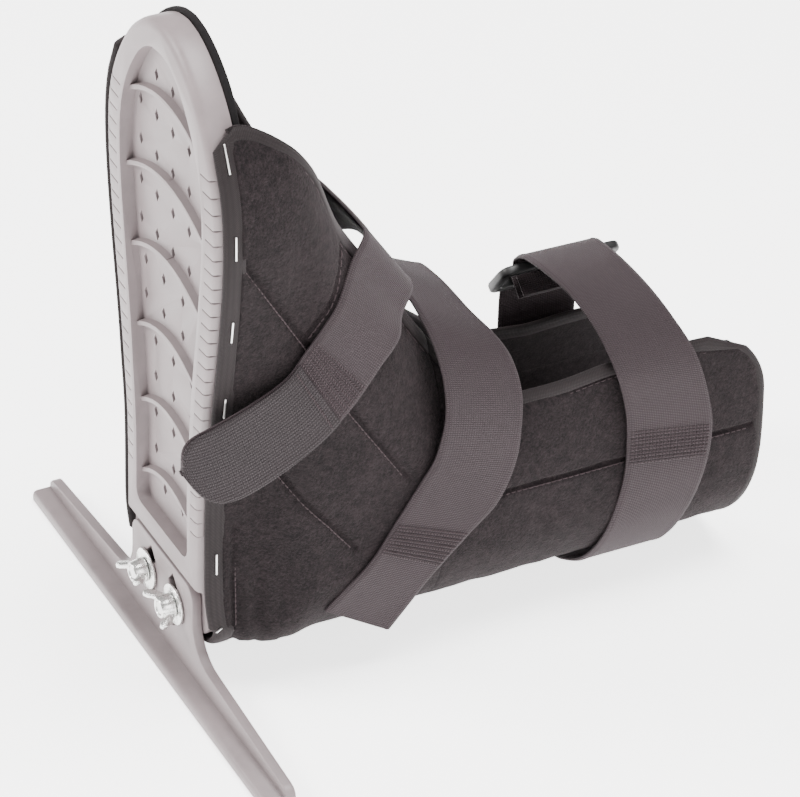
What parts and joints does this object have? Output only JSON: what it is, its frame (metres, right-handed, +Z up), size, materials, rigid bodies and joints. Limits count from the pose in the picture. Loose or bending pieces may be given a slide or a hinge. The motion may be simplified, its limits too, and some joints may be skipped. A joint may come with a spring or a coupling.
{
  "type": "anti-rotation ankle boot",
  "caption": "Black padded ankle boot on a grey ribbed foot plate, with webbing straps and a clamped anti-rotation bar at the heel.",
  "frame": {"origin": "centre of the bar's underside, midway along its length and depth", "axes": "+X along the bar to the side that the strap tails are on, +Y from the foot plate's tread towards the calf end, +Z up towards the toes"},
  "size_m": [0.238, 0.274, 0.295],
  "materials": {
    "grey_plastic": "moulded polypropylene, fine grain",
    "napped_cloth": "brushed loop pile over foam",
    "binding_tape": "folded woven tape, stitched",
    "webbing": "woven nylon webbing",
    "buckle_plastic": "smooth moulded plastic",
    "zinc_steel": "bright zinc plate",
    "staple_wire": "bright galvanised wire"
  },
  "bodies": {
    "boot": {"sole_plate": "grey_plastic", "insole_liner": "napped_cloth", "clamp_bolt_far": "zinc_steel", "clamp_bolt_near": "zinc_steel", "washer_far": "zinc_steel", "washer_near": "zinc_steel", "foot_wrap": "napped_cloth", "calf_cradle": "napped_cloth", "foot_binding": "binding_tape", "calf_binding": "binding_tape", "forefoot_strap": "webbing", "ankle_strap": "webbing", "calf_strap": "webbing", "calf_strap_anchor": "webbing", "loop_buckle": "buckle_plastic", "staple_near_1": "staple_wire", "staple_near_2": "staple_wire", "staple_near_3": "staple_wire", "staple_near_4": "staple_wire", "staple_near_5": "staple_wire", "staple_near_6": "staple_wire", "staple_near_7": "staple_wire", "staple_far_1": "staple_wire", "staple_far_2": "staple_wire", "staple_far_3": "staple_wire", "staple_far_4": "staple_wire", "staple_far_5": "staple_wire", "staple_far_6": "staple_wire", "staple_far_7": "staple_wire"},
    "bar": {"anti_rotation_bar": "grey_plastic"},
    "nut_far": {"wing_nut_far": "zinc_steel"},
    "nut_near": {"wing_nut_near": "zinc_steel"}
  },
  "joints": [
    {"name": "bar_swing", "type": "hinge", "parent": "boot", "child": "bar", "pos_m": [0, 0.004, 0.031], "axis": [0, 1, 0], "range_deg": [-3.5, 3.5]},
    {"name": "nut_far_turn", "type": "hinge", "parent": "boot", "child": "nut_far", "pos_m": [-0.0136, -0.003, 0.031], "axis": [0, 1, 0], "continuous": true},
    {"name": "nut_near_turn", "type": "hinge", "parent": "boot", "child": "nut_near", "pos_m": [0.0136, -0.003, 0.031], "axis": [0, 1, 0], "continuous": true}
  ]
}
